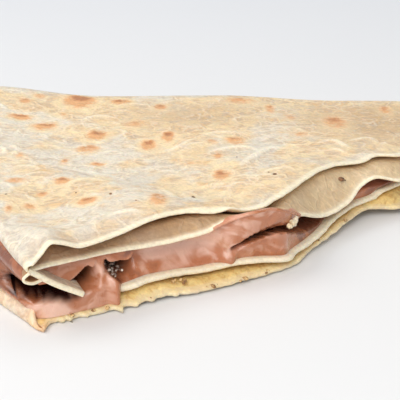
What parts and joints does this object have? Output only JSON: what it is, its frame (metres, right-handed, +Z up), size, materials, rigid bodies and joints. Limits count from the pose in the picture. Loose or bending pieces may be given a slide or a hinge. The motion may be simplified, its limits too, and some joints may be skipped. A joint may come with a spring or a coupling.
{
  "type": "folded crepe",
  "caption": "Thin round crepe filled with chocolate spread and folded into a quarter, lying flat with its ragged round rim to the front.",
  "frame": {"origin": "middle of the folded crepe's box in plan, on the surface it lies on", "axes": "+X along the back fold, from the point to the right end; -Y towards the round rim at the front; +Z up"},
  "size_m": [0.1794, 0.1624, 0.0225],
  "materials": {
    "baked_batter": "matte pale cream baked batter with browned spots",
    "chocolate": "glossy milk chocolate spread"
  },
  "bodies": {
    "root": {"crepe_sheet": "baked_batter", "chocolate_spread": "chocolate"}
  },
  "joints": []
}
